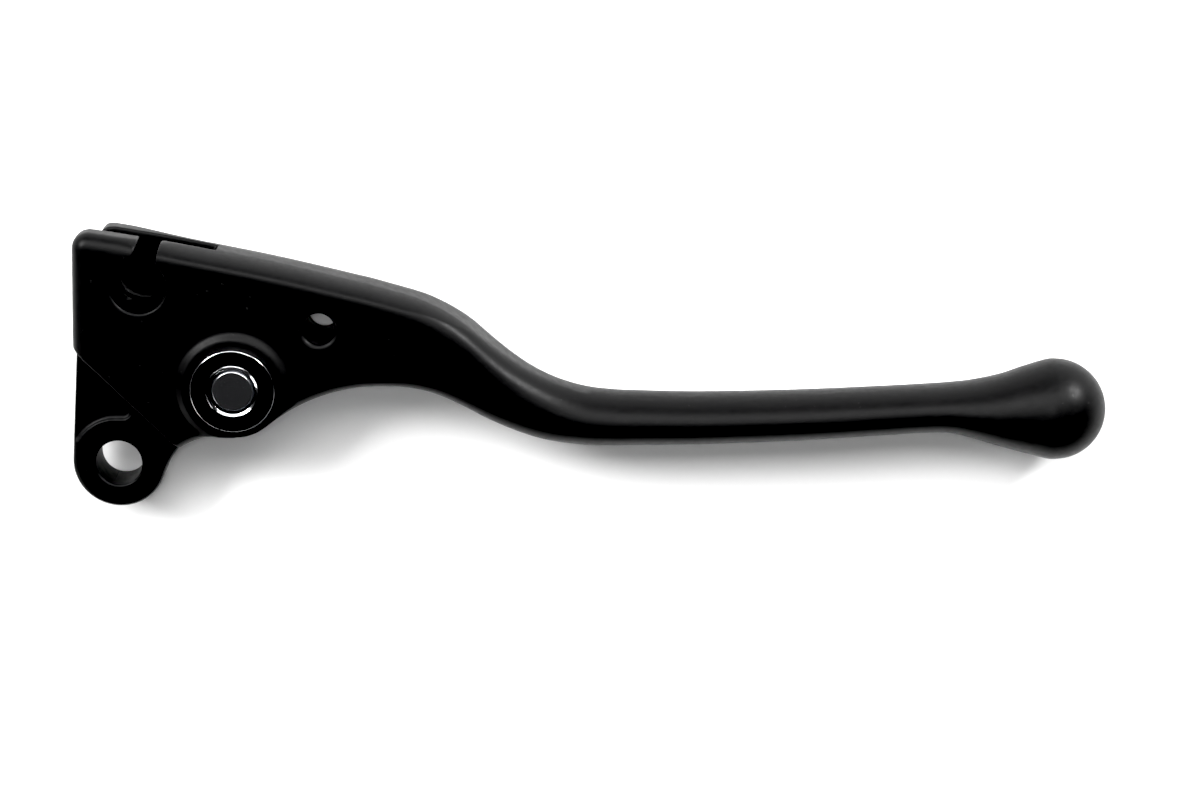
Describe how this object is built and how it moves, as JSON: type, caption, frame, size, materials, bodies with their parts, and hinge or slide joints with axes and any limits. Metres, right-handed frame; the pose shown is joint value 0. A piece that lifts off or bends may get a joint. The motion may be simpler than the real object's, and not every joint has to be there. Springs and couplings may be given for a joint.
{
  "type": "brake lever",
  "caption": "Cast cable hand lever with a ball-ended curved blade, a thin pivot ear, a slotted cable fork and a cross pin turning in pressed flange bushes.",
  "frame": {"origin": "centre of the pivot bore, half way through the thickness of the lever", "axes": "+X along the blade to the ball, +Y towards the cable side, +Z along the pivot axis out of the near face"},
  "size_m": [0.1787, 0.0492, 0.0176],
  "materials": {
    "coated_casting": "satin black powder coat over die-cast aluminium",
    "bush_steel": "bright turned and plated",
    "pin_steel": "ground and polished"
  },
  "bodies": {
    "lever": {"lever_casting": "coated_casting", "near_flange_bush": "bush_steel", "far_flange_bush": "bush_steel"},
    "pin": {"anchor_pin": "pin_steel"}
  },
  "joints": [
    {"name": "pin_spin", "type": "hinge", "parent": "lever", "child": "pin", "pos_m": [0.0206, 0.0142, 0], "axis": [0, 0, 1], "continuous": true}
  ]
}
